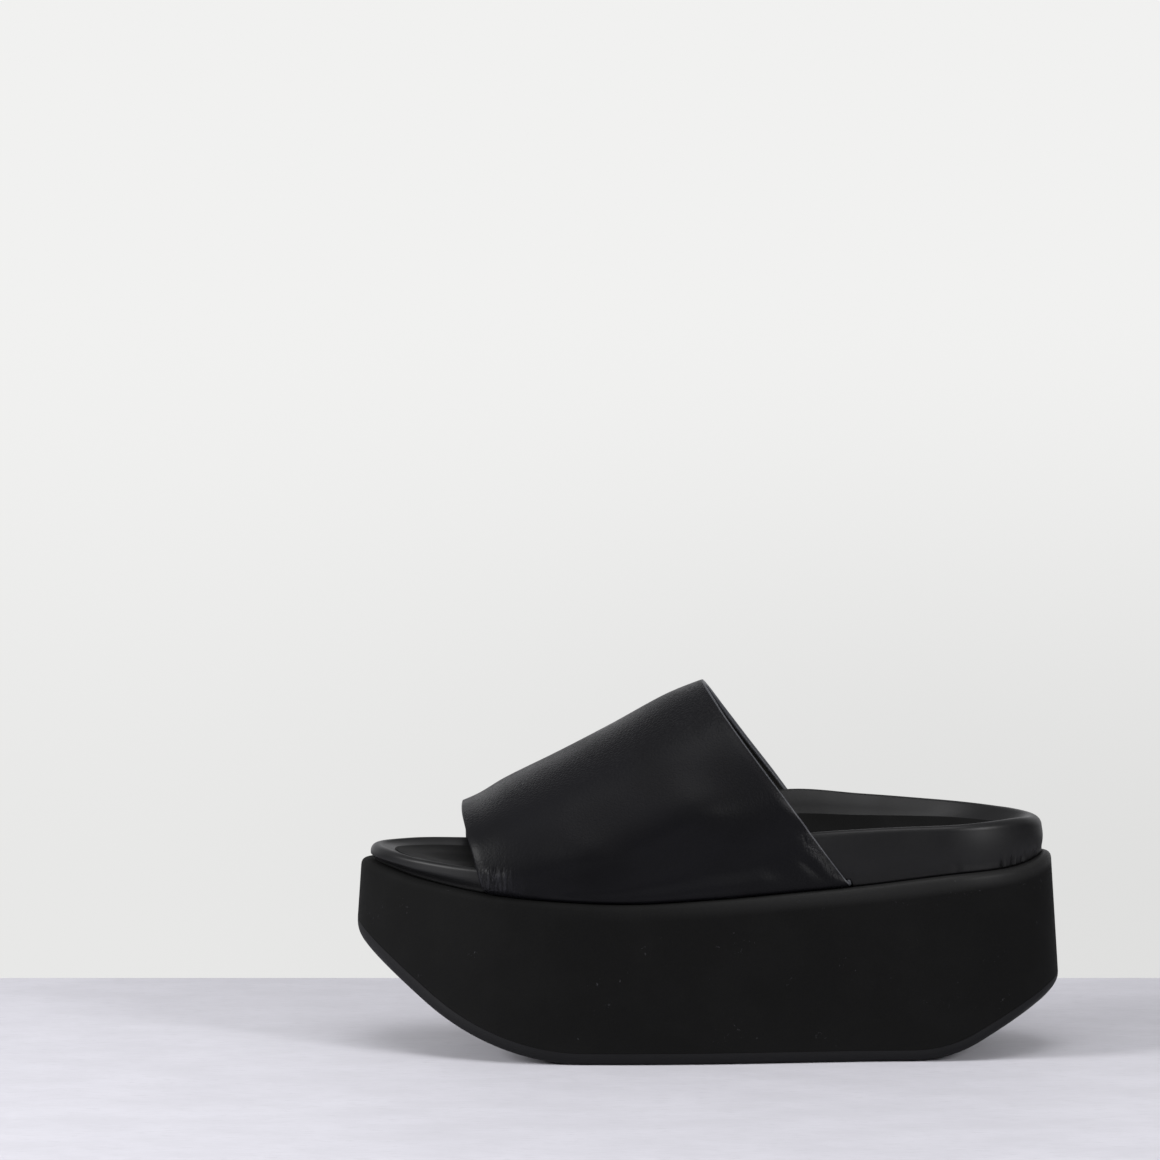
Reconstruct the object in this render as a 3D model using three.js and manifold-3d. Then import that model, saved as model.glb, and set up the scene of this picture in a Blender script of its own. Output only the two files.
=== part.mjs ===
// A left platform mule: a thick rocker sole, a leather-covered cup footbed and one broad leather vamp.
// Lengths are in millimetres. X runs from toe to heel, Y from the outer to the inner side of the foot, Z up.
import * as THREE from "three";
import { mergeVertices } from "three/addons/utils/BufferGeometryUtils.js";
import Module from "manifold-3d";

// Plan of the footbed
const FOOTBED_LENGTH = 256;
const BALL_WIDTH = 90;
const TOE_TIP_Y = 12; // the toe's foremost point, towards the big toe
const HEEL_TIP_Y = -2.5;
const OUTER_TOE_ROUND = 0.3; // shares of the length over which an end is rounded off
const INNER_TOE_ROUND = 0.17;
const HEEL_ROUND = 0.15;

// Platform: a foam block whose underside rolls up at both ends
const DECK_LOW = 59.6; // height of its top where it is lowest, behind the ball of the foot
const DECK_RISE = 15.2; // how much higher its top is at the heel's tip
const SOLE_LEDGE = 3.5; // its top edge stands out past the footbed
const SOLE_DRAFT = 0.065; // its wall leans out by this much for each millimetre down
const SOLE_EDGE_ROUND = 2.5;
const FLAT_FROM_TOE = 83.2; // from the footbed's ends to where the underside leaves the floor
const FLAT_FROM_HEEL = 51.5;
const TOE_ROLL_RADIUS = 100; // each end bends up on this radius and runs on straight at this slope
const TOE_ROLL_SLOPE = 0.781;
const HEEL_ROLL_RADIUS = 55;
const HEEL_ROLL_SLOPE = 0.54;
const HEEL_CORNER = 8; // how far the lower edge is rounded in at the back of the heel

// Outsole: a rubber sheet under the platform
const OUTSOLE_THICKNESS = 4.5;

// Footbed: a moulded cup with a soft rim, and the leather sock that lies in it
const OUTER_RIM_HEIGHT = 21.5; // highest points of the two side walls above the deck
const INNER_RIM_HEIGHT = 31.5;
const PAD_THICKNESS = 7;
const RIM_ROUND = 2; // radius of the rim's top along the sides
const FOOTBED_TUCK = 1.5;
const CUP_POWER = 3;
const SOCK_THICKNESS = 1.2;

// Vamp: one piece of leather over the foot, turned in under the footbed on both sides
const UPPER_WALL = 2.4;
const LASTING_MARGIN = 12;
const INSTEP_HEIGHT = 79.8; // top of the vamp's rear edge above the lowest point of the deck
const VAMP_FRONT = 34.8; // its front and rear edges at the top, from the toe end of the footbed
const VAMP_REAR = 127.2;
const FRONT_LEAN_OUTER = 0.32; // how far an edge runs back for each millimetre down
const FRONT_LEAN_INNER = 0.04;
const REAR_LEAN = 0.742;

const GAP = 0.3; // left between neighbouring pieces

// Sections of the foot from toe to heel. at is a share of FOOTBED_LENGTH, outer and inner are half-widths as shares
// of BALL_WIDTH, deck is a share of DECK_RISE, and rims and pad are shares of their own heights above the deck.
const SECTIONS = [
  { at: 0.0, outer: 0.489, inner: 0.478, deck: 0.702, outerRim: 0.265, innerRim: 0.181, pad: 0.4 },
  { at: 0.03, outer: 0.489, inner: 0.478, deck: 0.622, outerRim: 0.298, innerRim: 0.206, pad: 0.42 },
  { at: 0.07, outer: 0.489, inner: 0.478, deck: 0.471, outerRim: 0.344, innerRim: 0.27, pad: 0.44 },
  { at: 0.16, outer: 0.498, inner: 0.487, deck: 0.231, outerRim: 0.428, innerRim: 0.359, pad: 0.6 },
  { at: 0.26, outer: 0.509, inner: 0.494, deck: 0.08, outerRim: 0.507, innerRim: 0.448, pad: 0.71 },
  { at: 0.38, outer: 0.517, inner: 0.458, deck: 0.0, outerRim: 0.642, innerRim: 0.619, pad: 0.8 },
  { at: 0.5, outer: 0.5, inner: 0.394, deck: 0.093, outerRim: 0.833, innerRim: 0.829, pad: 0.91 },
  { at: 0.62, outer: 0.46, inner: 0.344, deck: 0.245, outerRim: 1.0, innerRim: 0.994, pad: 1.0 },
  { at: 0.74, outer: 0.422, inner: 0.333, deck: 0.417, outerRim: 0.977, innerRim: 0.863, pad: 0.94 },
  { at: 0.86, outer: 0.407, inner: 0.342, deck: 0.656, outerRim: 0.86, innerRim: 0.67, pad: 0.86 },
  { at: 0.94, outer: 0.403, inner: 0.344, deck: 0.768, outerRim: 0.833, innerRim: 0.571, pad: 0.86 },
  { at: 0.97, outer: 0.4015, inner: 0.3415, deck: 0.854, outerRim: 0.78, innerRim: 0.52, pad: 0.86 },
  { at: 1.0, outer: 0.4, inner: 0.339, deck: 1.0, outerRim: 0.64, innerRim: 0.437, pad: 0.86 },
];

// How soft two edges are along the foot: crest is the roundness of the footbed's rim in RIM_ROUNDs, and corner is
// how far the sole's lower edge is rounded in, as a share of HEEL_CORNER.
const ROUNDINGS = [
  { at: 0.0, crest: 1.4, corner: 0.35 },
  { at: 0.03, crest: 1.1, corner: 0.35 },
  { at: 0.07, crest: 0.8, corner: 0.35 },
  { at: 0.16, crest: 0.8, corner: 0.35 },
  { at: 0.26, crest: 0.9, corner: 0.35 },
  { at: 0.38, crest: 1.0, corner: 0.35 },
  { at: 0.62, crest: 1.0, corner: 0.35 },
  { at: 0.74, crest: 1.0, corner: 0.4 },
  { at: 0.86, crest: 1.1, corner: 0.6 },
  { at: 0.94, crest: 1.5, corner: 0.9 },
  { at: 1.0, crest: 2.0, corner: 1.0 },
];

// Sections of the vamp. crest is its top above DECK_LOW as a share of INSTEP_HEIGHT, ridge is where the top lies
// across the foot as a share of BALL_WIDTH, and fullness is the power of its arch: 2 is an ellipse, more is boxier.
const VAMP_SECTIONS = [
  { at: 0.12, crest: 0.386, ridge: 0.07, fullness: 2.3 },
  { at: 0.16, crest: 0.441, ridge: 0.073, fullness: 2.27 },
  { at: 0.2, crest: 0.519, ridge: 0.075, fullness: 2.25 },
  { at: 0.28, crest: 0.648, ridge: 0.075, fullness: 2.2 },
  { at: 0.36, crest: 0.784, ridge: 0.07, fullness: 2.12 },
  { at: 0.44, crest: 0.927, ridge: 0.06, fullness: 2.06 },
  { at: 0.495, crest: 1.0, ridge: 0.055, fullness: 2.02 },
  { at: 0.56, crest: 1.068, ridge: 0.05, fullness: 2.0 },
  { at: 0.64, crest: 1.124, ridge: 0.04, fullness: 2.0 },
  { at: 0.72, crest: 1.162, ridge: 0.03, fullness: 2.0 },
];

// How finely the surfaces are divided
const HALF_RING = 40; // points along one side of a plan outline
const SPREAD = [0, 0.4, 0.65, 0.85, 1]; // rings of a broad face, from its middle line to its edge
const CUP_RINGS = [0, 0.34, 0.56, 0.72, 0.86, 1];
const SOCK_RINGS = CUP_RINGS.slice(0, 5);
const RIM_DEGREES = [135, 112, 90, 60, 30, 0]; // round the rim's top, from the cup's side to the wall
const CORNER_STEPS = 4;
const VAMP_STATIONS = 16;
const VAMP_ARCH_STEPS = 12;
const SETTLING_ROUNDS = 10;
const HALF_STEP = 0.5; // half of the length over which a slope is measured

const SIDES = { outer: -1, inner: 1 };
const TOE_X = -FOOTBED_LENGTH / 2;
const lerp = THREE.MathUtils.lerp;
const shareOf = (x) => THREE.MathUtils.clamp((x - TOE_X) / FOOTBED_LENGTH, 0, 1);

// A table's column at a share of the length, on a smooth curve through its rows.
function along(rows, column, at) {
  const last = rows.length - 2;
  const found = rows.findIndex((row, i) => i > last || at < rows[i + 1].at);
  const i = THREE.MathUtils.clamp(found, 0, last);
  const slope = (k) => {
    const a = rows[Math.max(k - 1, 0)];
    const b = rows[Math.min(k + 1, rows.length - 1)];
    return (b[column] - a[column]) / (b.at - a.at);
  };
  const span = rows[i + 1].at - rows[i].at;
  const t = THREE.MathUtils.clamp((at - rows[i].at) / span, 0, 1);
  const [t2, t3] = [t * t, t * t * t];
  return (
    (2 * t3 - 3 * t2 + 1) * rows[i][column] +
    (t3 - 2 * t2 + t) * span * slope(i) +
    (3 * t2 - 2 * t3) * rows[i + 1][column] +
    (t3 - t2) * span * slope(i + 1)
  );
}

// A quarter of an ellipse over the share reach, and 1 past it.
const roundedEnd = (share, reach) => (share >= reach ? 1 : Math.sqrt(1 - (1 - share / reach) ** 2));

// The footbed's edge on one side.
function edgeY(at, side) {
  const full = SIDES[side] * along(SECTIONS, side, at) * BALL_WIDTH;
  if (at > 0.5) return lerp(HEEL_TIP_Y, full, roundedEnd(1 - at, HEEL_ROUND));
  return lerp(TOE_TIP_Y, full, roundedEnd(at, side === "outer" ? OUTER_TOE_ROUND : INNER_TOE_ROUND));
}

// The same edge moved out by grow, measured square to the outline.
function grownEdgeY(x, side, grow) {
  const step = 1 / FOOTBED_LENGTH;
  const at = shareOf(x);
  const slope = (edgeY(at + step, side) - edgeY(at - step, side)) / 2;
  return edgeY(at, side) + SIDES[side] * grow * Math.hypot(1, slope);
}

// The heights that every piece is built on.
const deckZ = (x) => DECK_LOW + DECK_RISE * along(SECTIONS, "deck", shareOf(x));
const padZ = (x) => deckZ(x) + PAD_THICKNESS * along(SECTIONS, "pad", shareOf(x));
const crestZ = (x) => DECK_LOW + INSTEP_HEIGHT * along(VAMP_SECTIONS, "crest", shareOf(x));

function rimZ(x, side) {
  const height = side === "outer" ? OUTER_RIM_HEIGHT : INNER_RIM_HEIGHT;
  return deckZ(x) + height * along(SECTIONS, side + "Rim", shareOf(x));
}

// How high the underside is at this distance past its flat: an arc, and then straight on at its slope.
function rollZ(past, radius, slope) {
  const angle = Math.atan(slope);
  const arc = radius * Math.sin(angle);
  if (past < 0) return 0;
  if (past < arc) return radius - Math.sqrt(radius ** 2 - past ** 2);
  return radius * (1 - Math.cos(angle)) + (past - arc) * slope;
}

const groundZ = (x) =>
  rollZ(TOE_X + FLAT_FROM_TOE - x, TOE_ROLL_RADIUS, TOE_ROLL_SLOPE) +
  rollZ(x - (TOE_X + FOOTBED_LENGTH - FLAT_FROM_HEEL), HEEL_ROLL_RADIUS, HEEL_ROLL_SLOPE);

const slopeOf = (height, x) => (height(x + HALF_STEP) - height(x - HALF_STEP)) / (2 * HALF_STEP);

// The top of a layer of this thickness on the rolled underside, where a steep stretch is thicker upwards.
const aboveGround = (x, thickness) => groundZ(x) + thickness * Math.hypot(1, slopeOf(groundZ, x));

// Stations round the footbed's outline: down the outer side to the heel and back up the inner side. Each knows
// its outward normal and the point on the middle line that the rings of a broad face run to.
const STATIONS = makeStations();

function makeStations() {
  const point = (i) => {
    const side = i <= HALF_RING ? "outer" : "inner";
    const at = (1 - Math.cos((Math.PI * i) / HALF_RING)) / 2;
    return { at, side, x: TOE_X + at * FOOTBED_LENGTH, y: edgeY(at, side) };
  };
  const points = Array.from({ length: 2 * HALF_RING }, (_, i) => point(i));
  return points.map((p, i) => {
    const before = points.at(i - 1);
    const after = points[(i + 1) % points.length];
    const run = Math.hypot(after.x - before.x, after.y - before.y);
    const middleAt = lerp(OUTER_TOE_ROUND / 2, 1 - HEEL_ROUND, p.at);
    return {
      ...p,
      normal: new THREE.Vector2((after.y - before.y) / run, (before.x - after.x) / run),
      middle: new THREE.Vector2(
        TOE_X + middleAt * FOOTBED_LENGTH,
        (edgeY(middleAt, "outer") + edgeY(middleAt, "inner")) / 2,
      ),
    };
  });
}

// One ring of points: the outline moved out by grow, then drawn in to the given share of its way from the middle
// line. height gives each point's Z.
function ring(grow, share, height) {
  return STATIONS.map((s) => {
    const out = typeof grow === "function" ? grow(s) : grow;
    const x = lerp(s.middle.x, s.x + s.normal.x * out, share);
    const y = lerp(s.middle.y, s.y + s.normal.y * out, share);
    return new THREE.Vector3(x, y, height(x, s));
  });
}

const face = (shares, grow, height) => shares.map((share) => ring(grow, share, height));
const inward = (shares) => shares.toReversed();

// Rings that round a corner off, from start to end past the corner. Each gives its grow and height.
function roundedCorner(start, corner, end) {
  return Array.from({ length: CORNER_STEPS - 1 }, (_, i) => {
    const t = (i + 1) / CORNER_STEPS;
    const mix = (a, b, c) => (1 - t) ** 2 * a + 2 * t * (1 - t) * b + t * t * c;
    return STATIONS.map((s) => {
      const [a, b, c] = [start, corner, end].map((at) => at(s));
      const out = mix(a.grow, b.grow, c.grow);
      return new THREE.Vector3(s.x + s.normal.x * out, s.y + s.normal.y * out, mix(a.z, b.z, c.z));
    });
  });
}

const ringOf = (at) => STATIONS.map((s) => {
  const { grow, z } = at(s);
  return new THREE.Vector3(s.x + s.normal.x * grow, s.y + s.normal.y * grow, z);
});

// A surface through rows of points. Each quad is split along the diagonal that is shorter in plan, so that two
// layers over the same plan are split alike.
function skin(rows, closed) {
  const width = rows[0].length;
  const points = rows.flat();
  const index = [];
  const span = (p, q) => Math.hypot(points[p].x - points[q].x, points[p].y - points[q].y);
  for (let r = 0; r + 1 < rows.length; r++) {
    for (let i = 0; i < (closed ? width : width - 1); i++) {
      const [a, b] = [r * width + i, r * width + ((i + 1) % width)];
      const [c, d] = [a + width, b + width];
      if (span(a, d) < span(b, c)) index.push(a, b, d, a, d, c);
      else index.push(a, b, c, b, d, c);
    }
  }
  return { points, index };
}

// One geometry from skins that share their edges.
function join(...skins) {
  const points = [];
  const index = [];
  for (const s of skins) {
    index.push(...s.index.map((i) => i + points.length));
    points.push(...s.points);
  }
  const geometry = new THREE.BufferGeometry().setFromPoints(points).setIndex(index);
  return mergeVertices(geometry);
}

// Rings listed from the top's middle line, out over the edge and back to the bottom's middle line.
const ringedSolid = (rings) => join(skin(inward(rings), true));

const wasm = await Module();
wasm.setup();

function toManifold(geometry) {
  return new wasm.Manifold(
    new wasm.Mesh({
      numProp: 3,
      vertProperties: geometry.attributes.position.array,
      triVerts: new Uint32Array(geometry.index.array),
    }),
  );
}

function toGeometry(manifold) {
  const mesh = manifold.getMesh();
  return new THREE.BufferGeometry()
    .setAttribute("position", new THREE.BufferAttribute(mesh.vertProperties, 3))
    .setIndex(new THREE.BufferAttribute(mesh.triVerts, 1));
}

// The sole's wall, where it would meet the underside, and where it meets the joint between platform and outsole.
const soleWall = (s, z) => ({ grow: SOLE_LEDGE + SOLE_DRAFT * (deckZ(s.x) - z), z });
const outFrom = (s, grow) => s.x + s.normal.x * grow;

function wallCorner(s) {
  let corner = soleWall(s, 0);
  for (let k = 0; k < SETTLING_ROUNDS; k++) corner = soleWall(s, groundZ(outFrom(s, corner.grow)));
  return corner;
}

const jointEdge = (s) => soleWall(s, wallCorner(s).z + OUTSOLE_THICKNESS).grow;

function outsoleGeometry() {
  const layer = OUTSOLE_THICKNESS - GAP;
  const top = (s) => ({ grow: jointEdge(s), z: aboveGround(outFrom(s, jointEdge(s)), layer) });
  const foot = (s) => {
    const grow = wallCorner(s).grow - HEEL_CORNER * along(ROUNDINGS, "corner", s.at);
    return { grow, z: groundZ(outFrom(s, grow)) };
  };
  return ringedSolid([
    ...face(SPREAD, jointEdge, (x) => aboveGround(x, layer)),
    ...roundedCorner(top, wallCorner, foot),
    ...face(inward(SPREAD), (s) => foot(s).grow, groundZ),
  ]);
}

function platformGeometry() {
  const top = (s) => ({ grow: SOLE_LEDGE - SOLE_EDGE_ROUND, z: deckZ(s.x) });
  const corner = (s) => ({ grow: SOLE_LEDGE, z: deckZ(s.x) });
  const wallTop = (s) => soleWall(s, deckZ(s.x) - SOLE_EDGE_ROUND);
  const middle = (s) => soleWall(s, lerp(wallTop(s).z, wallCorner(s).z, 1 / 2));
  return ringedSolid([
    ...face(SPREAD.slice(0, -1), SOLE_LEDGE - SOLE_EDGE_ROUND, deckZ),
    ringOf(top),
    ...roundedCorner(top, corner, wallTop),
    ringOf(wallTop),
    ringOf(middle),
    ...face(inward(SPREAD), jointEdge, (x) => aboveGround(x, OUTSOLE_THICKNESS)),
  ]);
}

// The footbed's cup: where its slope meets the rounded rim, and its height at a share of the way out to there.
const rimRound = (s) => RIM_ROUND * along(ROUNDINGS, "crest", s.at);
const cupEdge = (s) => -rimRound(s) * (1 + Math.SQRT1_2);
const cupEdgeZ = (s) => rimZ(s.x, s.side) - rimRound(s) * (1 - Math.SQRT1_2);
const cupZ = (share) => (x, s) => lerp(padZ(x), cupEdgeZ(s), share ** CUP_POWER);

function footbedRings() {
  const base = (x) => deckZ(x) + GAP;
  const baseZ = (s) => base(s.x);
  const bottom = (s) => ({ grow: -FOOTBED_TUCK, z: baseZ(s) });
  const tucked = (s) => ({ grow: 0, z: baseZ(s) });
  const wallFoot = (s) => ({ grow: 0, z: baseZ(s) + FOOTBED_TUCK });
  const rimTurn = (degrees) => (s) => {
    const a = THREE.MathUtils.degToRad(degrees);
    return { grow: rimRound(s) * (Math.cos(a) - 1), z: rimZ(s.x, s.side) + rimRound(s) * (Math.sin(a) - 1) };
  };
  return [
    ...CUP_RINGS.slice(0, -1).map((share) => ring(cupEdge, share, cupZ(share))),
    ...RIM_DEGREES.map((degrees) => ringOf(rimTurn(degrees))),
    ringOf(wallFoot),
    ...roundedCorner(wallFoot, tucked, bottom),
    ...face(inward(SPREAD), -FOOTBED_TUCK, base),
  ];
}

// Room in the underside of the footbed for the vamp's turned-in margin.
function marginRebate(side) {
  const reach = UPPER_WALL + GAP;
  const line = { low: { side, zone: "margin", t: 0 }, high: { side, zone: "turn", t: 1 } };
  const lift = { low: -2 * GAP, high: 2 * GAP + UPPER_WALL };
  const ends = (level) => [
    vampEdgeX("front", line[level], 0) - 2 * GAP,
    vampEdgeX("rear", line[level], 0) + 2 * GAP,
  ];
  const corner = (place, level, share) => {
    const x = lerp(...ends(level), share);
    const inside = grownEdgeY(x, side, reach) - SIDES[side] * (LASTING_MARGIN + GAP);
    const y = place === "inside" ? inside : grownEdgeY(x, side, 2 * reach);
    return new THREE.Vector3(x, y, deckZ(x) + lift[level]);
  };
  const corners = [["outside", "low"], ["outside", "high"], ["inside", "high"], ["inside", "low"]];
  const turned = side === "inner" ? corners : corners.toReversed();
  const rows = Array.from({ length: VAMP_STATIONS + 1 }, (_, i) =>
    turned.map(([place, level]) => corner(place, level, i / VAMP_STATIONS)),
  );
  const cap = (points, index) => ({ points, index });
  const caps = [cap(rows[0], [0, 2, 1, 0, 3, 2]), cap(rows.at(-1), [0, 1, 2, 0, 2, 3])];
  return toManifold(join(skin(rows, true), ...caps));
}

function footbedGeometry() {
  const cup = toManifold(ringedSolid(footbedRings()));
  return toGeometry(cup.subtract(marginRebate("outer")).subtract(marginRebate("inner")));
}

function sockGeometry() {
  const lifted = (share, lift) => ring(cupEdge, share, (x, s) => cupZ(share)(x, s) + lift);
  return ringedSolid([
    ...SOCK_RINGS.map((share) => lifted(share, GAP + SOCK_THICKNESS)),
    ...inward(SOCK_RINGS).map((share) => lifted(share, GAP)),
  ]);
}

// A point of the vamp across the foot. inset is 0 on the outside of the leather and UPPER_WALL on the inside.
function vampPoint(x, { side, zone, t }, inset) {
  const sign = SIDES[side];
  const wallY = grownEdgeY(x, side, GAP + UPPER_WALL);
  const turn = UPPER_WALL + GAP;
  const angle = (t * Math.PI) / 2;
  const foot = deckZ(x) + GAP;
  const spring = rimZ(x, side);
  const point = (y, z) => new THREE.Vector3(x, y, z);
  if (zone === "margin") return point(wallY - sign * lerp(LASTING_MARGIN, turn, t), foot + inset);
  if (zone === "turn") {
    const reach = turn - inset;
    return point(wallY - sign * (turn - reach * Math.sin(angle)), foot + turn - reach * Math.cos(angle));
  }
  if (zone === "wall") return point(wallY - sign * inset, lerp(foot + turn, spring, t));
  const power = 2 / along(VAMP_SECTIONS, "fullness", shareOf(x));
  const ridge = BALL_WIDTH * along(VAMP_SECTIONS, "ridge", shareOf(x));
  const drop = inset * Math.hypot(1, slopeOf(crestZ, x));
  const y = lerp(ridge, wallY - sign * inset, Math.max(Math.cos(angle), 0) ** power);
  return point(y, lerp(spring, crestZ(x) - drop, Math.sin(angle) ** power));
}

// Where the front or rear edge crosses this line of the vamp: both edges are straight seen from the side.
function vampEdgeX(end, line, inset) {
  const start = TOE_X + (end === "front" ? VAMP_FRONT : VAMP_REAR);
  const frontLean = line.side === "outer" ? FRONT_LEAN_OUTER : FRONT_LEAN_INNER;
  const lean = end === "front" ? frontLean : REAR_LEAN;
  let x = start;
  for (let k = 0; k < SETTLING_ROUNDS; k++) x = start + lean * (crestZ(start) - vampPoint(x, line, inset).z);
  return x;
}

function vampLines() {
  const zone = (side, name, steps) =>
    Array.from({ length: steps }, (_, i) => ({ side, zone: name, t: i / steps }));
  const half = (side) => [
    ...zone(side, "margin", 2),
    ...zone(side, "turn", 3),
    ...zone(side, "wall", 3),
    ...zone(side, "arch", VAMP_ARCH_STEPS),
  ];
  return [...half("outer"), { side: "outer", zone: "arch", t: 1 }, ...half("inner").toReversed()];
}

function vampGeometry() {
  const lines = vampLines();
  const layer = (inset) =>
    Array.from({ length: VAMP_STATIONS + 1 }, (_, i) =>
      lines.map((line) => {
        const x = lerp(vampEdgeX("front", line, inset), vampEdgeX("rear", line, inset), i / VAMP_STATIONS);
        return vampPoint(x, line, inset);
      }),
    );
  const [outside, inside] = [layer(0), layer(UPPER_WALL)];
  const column = (rows, i) => rows.map((row) => row.at(i));
  return join(
    skin(outside.toReversed(), false),
    skin(inside, false),
    skin([inside[0], outside[0]].toReversed(), false),
    skin([inside.at(-1), outside.at(-1)], false),
    skin([column(outside, 0), column(inside, 0)].toReversed(), false),
    skin([column(outside, -1), column(inside, -1)], false),
  );
}

const PIECES = [
  { name: "outsole", geometry: outsoleGeometry, color: 0x191a1c, roughness: 0.62 },
  { name: "platform", geometry: platformGeometry, color: 0x141414, roughness: 0.86 },
  { name: "footbed", geometry: footbedGeometry, color: 0x1c1c1e, roughness: 0.48 },
  { name: "insole", geometry: sockGeometry, color: 0x1b1b1c, roughness: 0.6 },
  { name: "upper", geometry: vampGeometry, color: 0x18181b, roughness: 0.45 },
];

const mule = new THREE.Group();
for (const { name, geometry, color, roughness } of PIECES) {
  const mesh = new THREE.Mesh(geometry(), new THREE.MeshStandardMaterial({ color, roughness, metalness: 0 }));
  mesh.name = name;
  mule.add(mesh);
}

// The origin is on the floor, under the middle of the whole shoe.
const middle = new THREE.Box3().setFromObject(mule).getCenter(new THREE.Vector3());
mule.position.set(-middle.x, -middle.y, 0);

export default mule;
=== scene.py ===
"""A left platform mule: its leather, foam and rubber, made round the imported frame.

Run it as a script in Blender.
"""

import math

import bpy
import numpy as np
from bpy.props import FloatProperty, FloatVectorProperty, PointerProperty
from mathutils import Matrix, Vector


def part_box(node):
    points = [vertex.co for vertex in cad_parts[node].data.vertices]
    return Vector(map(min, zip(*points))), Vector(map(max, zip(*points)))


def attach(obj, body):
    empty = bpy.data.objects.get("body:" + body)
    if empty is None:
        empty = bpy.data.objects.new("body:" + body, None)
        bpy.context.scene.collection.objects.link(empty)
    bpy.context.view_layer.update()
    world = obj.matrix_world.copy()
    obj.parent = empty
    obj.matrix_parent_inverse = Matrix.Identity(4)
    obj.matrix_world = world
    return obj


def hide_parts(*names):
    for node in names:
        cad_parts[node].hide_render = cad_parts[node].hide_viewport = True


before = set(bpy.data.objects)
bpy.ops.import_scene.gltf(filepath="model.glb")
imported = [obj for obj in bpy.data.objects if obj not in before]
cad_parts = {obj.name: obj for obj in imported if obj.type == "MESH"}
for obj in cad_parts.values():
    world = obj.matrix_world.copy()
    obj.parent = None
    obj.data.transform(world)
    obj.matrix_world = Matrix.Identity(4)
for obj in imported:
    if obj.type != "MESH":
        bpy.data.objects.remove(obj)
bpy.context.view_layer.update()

bl_info = {
    "name": "Platform Mule",
    "version": (1, 0, 0),
    "blender": (4, 5, 0),
    "location": "View3D > Sidebar > Mule",
    "description": "Makes the vamp, footbed, sock, foam platform and rubber outsole of a left platform mule",
    "category": "Object",
}

# Lengths in the tables and functions are millimetres.
# X runs from toe to heel, Y from the outer to the inner side and Z up from the floor.
MM = 0.001
GAP = 0.3  # between curved pieces
SEAM_GAP = 0.1  # in a glued joint
GROUP_OWN = ("rna_type", "name")  # what a property group holds besides its sizes or colours

# The footbed's outline
TOE_TIP_Y = 12
HEEL_TIP_Y = -2.5
OUTER_TOE_ROUND = 0.3
INNER_TOE_ROUND = 0.17
HEEL_ROUND = 0.15

# The rocker sole
SOLE_DRAFT = 0.065
SOLE_EDGE_ROUND = 2.5
FLAT_FROM_TOE = 83.2
FLAT_FROM_HEEL = 51.5
TOE_ROLL = {"radius": 100, "slope": 0.781}
HEEL_ROLL = {"radius": 55, "slope": 0.54}
HEEL_CORNER = 8

# The footbed's cup and the sock in it
PAD_THICKNESS = 7
RIM_ROUND = 2
CUP_MEETS_RIM = 135  # where on the rim's round the cup begins, in degrees from its outer side
FOOTBED_TUCK = 0.8
CUP_POWER = 3
SOCK_SHARE = 0.86
SOCK_THICKNESS = 1.2
SOCK_SKIVE = 0.34  # share of the cup over which the sock's edge is pared thin
WALL_BULGE = 0.45
BULGE_SITS_HIGH = 1.15  # over 1 puts the bulge above the middle of the wall
WALL_HOLLOW = 1.4  # how far the wall draws back where the vamp covers it
TOE_UNDERCUT = 1.5  # how far the toe's wall draws in towards its foot
DRAWN_IN = (0.35, 1.0)  # between which shares of the wall, from the top
BULGE_STARTS = (0.0, 0.5)  # between which shares of the length it grows
UNDERCUT_ENDS = (0.1, 0.3)  # between which shares of the length it fades
PLEAT_FULL = 0.3  # share of a pleat's reach over which it keeps its depth
PLEAT_SWELL = 0.5  # height of the swell beside a pleat, as a share of its depth
PLEAT_SWELL_OFF = 2.2  # how far beside the pleat, in its widths

# The vamp
LASTING_MARGIN = 12
VAMP_FRONT = 34.8
VAMP_REAR = 127.2
FRONT_LEAN = {"outer": 0.32, "inner": 0.04}
REAR_LEAN = 0.742
CUT_EDGE_ROUND = 0.8
CUT_EDGE_SQUARENESS = 0.6  # 1 is a round edge, and less is squarer
EDGE_ROLL = 0.5  # how far the hide curls in at its cut edges, and over what length
EDGE_ROLL_REACH = 3.5
DEEPEST_FOLD = 1.5
VAMP_HIDES_FROM = 14  # the vamp's cover of the footbed's wall starts this far behind the front edge's top
VAMP_HIDES_TO = 26  # and it ends this far behind the rear edge's top

# Shares of the vamp's height, from the seam to the ridge, between which something fades in or out
FOLDS_START = (0.02, 0.1)
FOLDS_END = (0.85, 1.0)
ROLL_ENDS = (0.8, 0.97)
GRAIN_STARTS = (0.7, 0.95)
CREASES_START = (0.0, 0.08)
CREASES_END = (0.2, 0.32)

# Shares of the way from the front to the rear edge, between which the fine creases fade
FRONT_CREASES = (0.05, 0.15)
REAR_CREASES = (0.94, 0.98)
REAR_CREASE_DEPTH = 0.45  # as a share of the front's
DRAWN_GRAIN = 0.12  # how much of its grain the hide keeps where it is drawn smooth
GRAIN, SUEDE, CUT = 0, 1, 2  # the vamp's materials, in their order

# Tread: straight bars across the underside, with a plain border
TREAD_PITCH = 8
TREAD_GROOVE = 2.4
TREAD_DEPTH = 0.9
TREAD_BORDER = 6
TREAD_SOFTNESS = 0.6  # half of the way over which a groove's side runs down
BORDER_SOFTNESS = 1

SHEEN_AND_HIGHLIGHT_SPAN = (0.2, 0.85)  # between which shares of the length the platform's upper edge is smoother and painted paler as a highlight


def table(columns, *rows):
    """Rows of values as rows with names. columns names them, with spaces between."""
    return [dict(zip(columns.split(), row)) for row in rows]


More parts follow.
